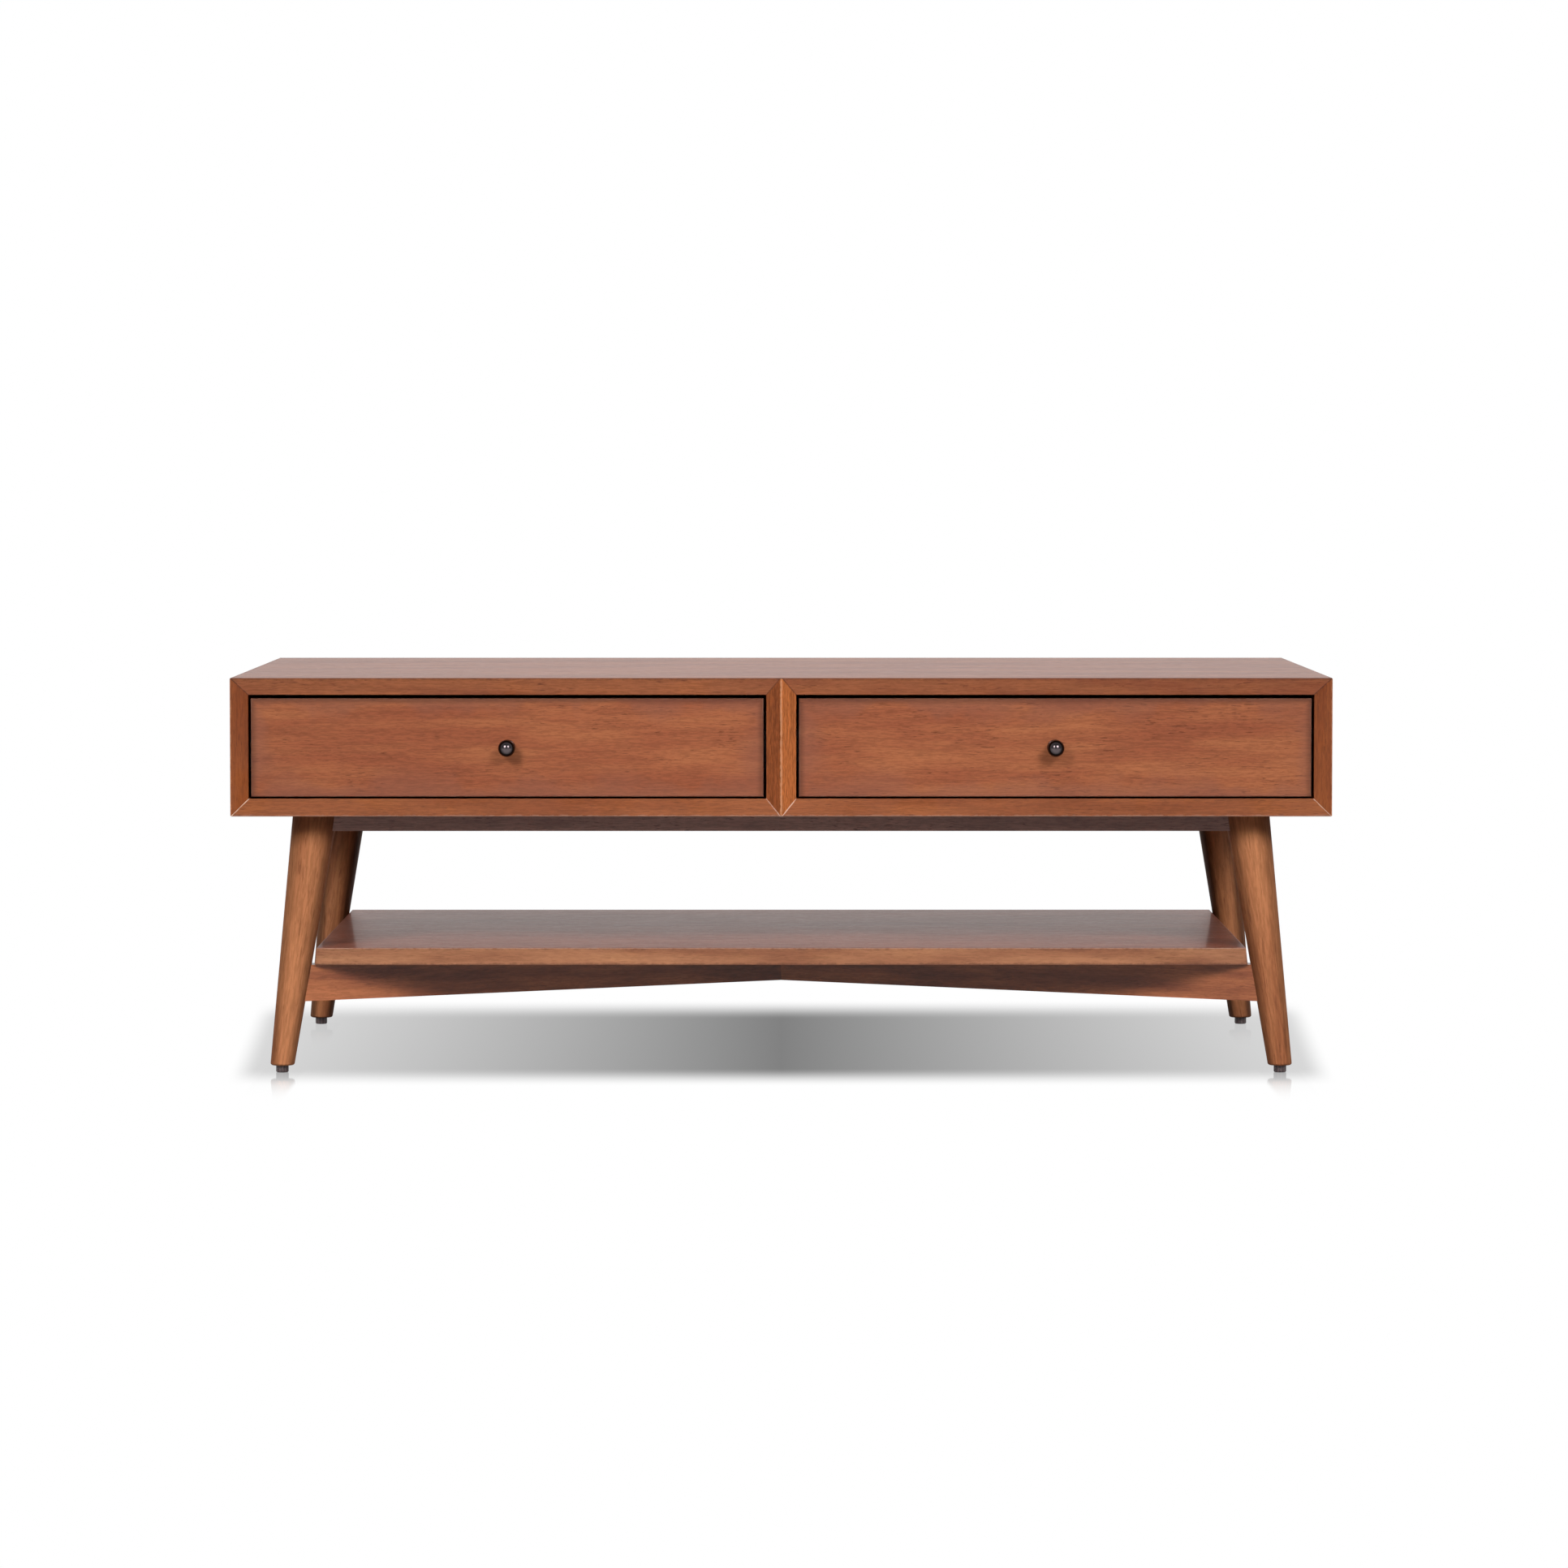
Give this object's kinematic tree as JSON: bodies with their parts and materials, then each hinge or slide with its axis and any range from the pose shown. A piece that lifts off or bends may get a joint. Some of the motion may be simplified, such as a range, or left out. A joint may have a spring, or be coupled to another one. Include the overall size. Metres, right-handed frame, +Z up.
{
  "type": "coffee table",
  "caption": "Low rectangular wooden coffee table: bevelled case with side-by-side drawers on ball-bearing slides, round splayed legs, crossed stretchers and an open shelf.",
  "frame": {"origin": "on the floor, midway between the ends, and midway between the knob tips and the back edge", "axes": "+X to the right seen from the front, +Y to the back, +Z up"},
  "size_m": [1.219, 0.6744, 0.442],
  "materials": {
    "stained_wood": "reddish-brown stain under satin lacquer, fine straight grain",
    "drawer_box_wood": "pale unstained hardwood, clear sealed",
    "drawer_plywood": "pale plywood, clear sealed",
    "zinc_steel": "bright zinc plate",
    "black_steel": "black coated slide rails",
    "dark_bronze": "dark oil-rubbed bronze, polished",
    "black_nylon": "moulded black nylon"
  },
  "bodies": {
    "table": {"apron_screws": "zinc_steel", "back_apron": "stained_wood", "back_left_leg": "stained_wood", "back_panel": "stained_wood", "back_right_leg": "stained_wood", "bottom_panel": "stained_wood", "case_rail_screws": "zinc_steel", "centre_divider": "stained_wood", "corner_blocks": "drawer_box_wood", "foot_inserts": "zinc_steel", "front_apron": "stained_wood", "front_left_leg": "stained_wood", "front_right_leg": "stained_wood", "left_apron": "stained_wood", "left_drawer_left_case_rail": "black_steel", "left_drawer_right_case_rail": "black_steel", "left_side_panel": "stained_wood", "leg_bolts": "zinc_steel", "lower_shelf": "stained_wood", "right_apron": "stained_wood", "right_drawer_left_case_rail": "black_steel", "right_drawer_right_case_rail": "black_steel", "right_side_panel": "stained_wood", "shelf_screws": "zinc_steel", "stretcher_bolts": "zinc_steel", "stretcher_from_front_left": "stained_wood", "stretcher_from_front_right": "stained_wood", "top_panel": "stained_wood"},
    "left_drawer": {"left_drawer_front": "stained_wood", "left_drawer_back": "drawer_box_wood", "left_drawer_bottom": "drawer_plywood", "left_drawer_left_side": "drawer_box_wood", "left_drawer_right_side": "drawer_box_wood", "left_drawer_knob": "dark_bronze", "left_drawer_knob_screw": "zinc_steel", "left_drawer_left_drawer_rail": "black_steel", "left_drawer_right_drawer_rail": "black_steel", "left_drawer_rail_screws": "zinc_steel"},
    "left_middle_rails": {"left_drawer_left_middle_rail": "black_steel", "left_drawer_right_middle_rail": "black_steel"},
    "left_outer_cages": {"left_drawer_outer_ball_cages": "zinc_steel"},
    "left_inner_cages": {"left_drawer_inner_ball_cages": "zinc_steel"},
    "right_drawer": {"right_drawer_front": "stained_wood", "right_drawer_back": "drawer_box_wood", "right_drawer_bottom": "drawer_plywood", "right_drawer_left_side": "drawer_box_wood", "right_drawer_right_side": "drawer_box_wood", "right_drawer_knob": "dark_bronze", "right_drawer_knob_screw": "zinc_steel", "right_drawer_left_drawer_rail": "black_steel", "right_drawer_right_drawer_rail": "black_steel", "right_drawer_rail_screws": "zinc_steel"},
    "right_middle_rails": {"right_drawer_left_middle_rail": "black_steel", "right_drawer_right_middle_rail": "black_steel"},
    "right_outer_cages": {"right_drawer_outer_ball_cages": "zinc_steel"},
    "right_inner_cages": {"right_drawer_inner_ball_cages": "zinc_steel"},
    "front_left_foot": {"front_left_levelling_foot": "black_nylon"},
    "front_right_foot": {"front_right_levelling_foot": "black_nylon"},
    "back_left_foot": {"back_left_levelling_foot": "black_nylon"},
    "back_right_foot": {"back_right_levelling_foot": "black_nylon"}
  },
  "joints": [
    {"name": "left_drawer_slide", "type": "slide", "parent": "table", "child": "left_drawer", "axis": [0, -1, 0], "range_m": [0, 0.44]},
    {"name": "left_middle_rails_slide", "type": "slide", "parent": "table", "child": "left_middle_rails", "axis": [0, -1, 0], "range_m": [0, 0.22]},
    {"name": "left_outer_cages_slide", "type": "slide", "parent": "table", "child": "left_outer_cages", "axis": [0, -1, 0], "range_m": [0, 0.11]},
    {"name": "left_inner_cages_slide", "type": "slide", "parent": "table", "child": "left_inner_cages", "axis": [0, -1, 0], "range_m": [0, 0.33]},
    {"name": "right_drawer_slide", "type": "slide", "parent": "table", "child": "right_drawer", "axis": [0, -1, 0], "range_m": [0, 0.44]},
    {"name": "right_middle_rails_slide", "type": "slide", "parent": "table", "child": "right_middle_rails", "axis": [0, -1, 0], "range_m": [0, 0.22]},
    {"name": "right_outer_cages_slide", "type": "slide", "parent": "table", "child": "right_outer_cages", "axis": [0, -1, 0], "range_m": [0, 0.11]},
    {"name": "right_inner_cages_slide", "type": "slide", "parent": "table", "child": "right_inner_cages", "axis": [0, -1, 0], "range_m": [0, 0.33]},
    {"name": "front_left_foot_screw", "type": "slide", "parent": "table", "child": "front_left_foot", "axis": [0, 0, -1], "range_m": [0, 0.008]},
    {"name": "front_right_foot_screw", "type": "slide", "parent": "table", "child": "front_right_foot", "axis": [0, 0, -1], "range_m": [0, 0.008]},
    {"name": "back_left_foot_screw", "type": "slide", "parent": "table", "child": "back_left_foot", "axis": [0, 0, -1], "range_m": [0, 0.008]},
    {"name": "back_right_foot_screw", "type": "slide", "parent": "table", "child": "back_right_foot", "axis": [0, 0, -1], "range_m": [0, 0.008]}
  ],
  "couplings": [
    {"joint": "left_middle_rails_slide", "follows": "left_drawer_slide", "ratio": 0.5},
    {"joint": "left_outer_cages_slide", "follows": "left_drawer_slide", "ratio": 0.25},
    {"joint": "left_inner_cages_slide", "follows": "left_drawer_slide", "ratio": 0.75},
    {"joint": "right_middle_rails_slide", "follows": "right_drawer_slide", "ratio": 0.5},
    {"joint": "right_outer_cages_slide", "follows": "right_drawer_slide", "ratio": 0.25},
    {"joint": "right_inner_cages_slide", "follows": "right_drawer_slide", "ratio": 0.75}
  ]
}
